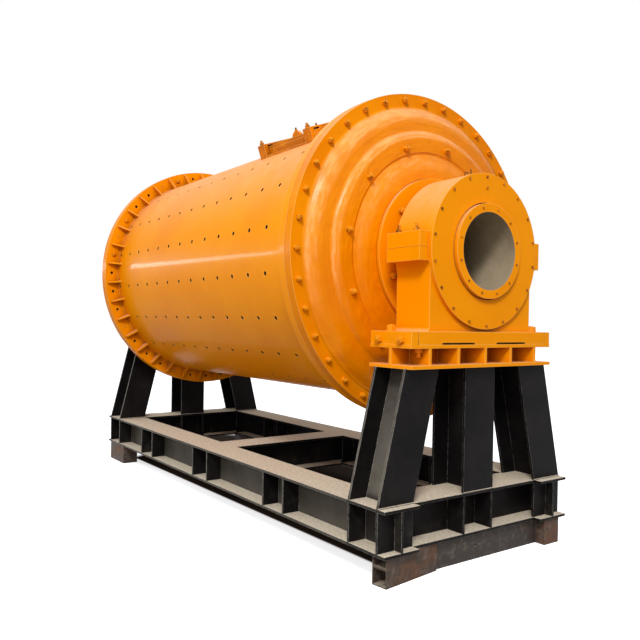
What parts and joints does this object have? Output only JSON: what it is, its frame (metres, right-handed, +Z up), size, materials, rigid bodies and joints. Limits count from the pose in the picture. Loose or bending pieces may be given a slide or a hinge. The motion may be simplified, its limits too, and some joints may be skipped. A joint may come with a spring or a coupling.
{
  "type": "ball mill",
  "caption": "Ball mill on its stand: a flanged steel drum with stepped end covers and hollow trunnions, turning in split bearings on an H-beam frame.",
  "frame": {"origin": "on the ground below the middle of the stand", "axes": "+X along the drum towards the feed end, +Z up"},
  "size_m": [4.152, 2.1059, 2.889],
  "materials": {
    "orange_enamel": "glossy orange enamel with dust and drips",
    "black_paint": "satin black paint, worn pale at the edges and dusty on top",
    "rusty_packing": "rusty scrap steel",
    "dark_channel": "dark scaled steel",
    "bare_steel": "bare turned steel"
  },
  "bodies": {
    "stand": {"left_long_beam": "black_paint", "right_long_beam": "black_paint", "near_cross_beam": "black_paint", "middle_cross_beam": "black_paint", "far_cross_beam": "black_paint", "near_left_leg": "black_paint", "near_center_leg": "black_paint", "near_right_leg": "black_paint", "near_bearing_sole": "orange_enamel", "near_bearing_pedestal": "orange_enamel", "near_bearing_cap": "orange_enamel", "near_outer_end_plate": "orange_enamel", "near_inner_end_plate": "orange_enamel", "far_left_leg": "black_paint", "far_center_leg": "black_paint", "far_right_leg": "black_paint", "far_bearing_sole": "orange_enamel", "far_bearing_pedestal": "orange_enamel", "far_bearing_cap": "orange_enamel", "far_outer_end_plate": "orange_enamel", "far_inner_end_plate": "orange_enamel", "near_left_lower_packing_tube": "rusty_packing", "near_left_upper_packing_tube": "rusty_packing", "near_packing_channel": "dark_channel", "near_right_packing_block": "rusty_packing", "far_left_packing_block": "rusty_packing", "far_right_packing_block": "rusty_packing"},
    "drum": {"shell": "orange_enamel", "near_shell_flange": "orange_enamel", "far_gear_flange": "orange_enamel", "near_end_cover": "orange_enamel", "far_end_cover": "orange_enamel", "near_trunnion": "orange_enamel", "far_trunnion": "orange_enamel", "near_trunnion_end_ring": "orange_enamel", "far_trunnion_end_ring": "orange_enamel", "manhole_frame": "orange_enamel", "manhole_cover": "orange_enamel", "manhole_clamps": "orange_enamel"}
  },
  "joints": [
    {"name": "drum_spin", "type": "hinge", "parent": "stand", "child": "drum", "pos_m": [0, 0, 1.836], "axis": [1, 0, 0], "continuous": true}
  ]
}
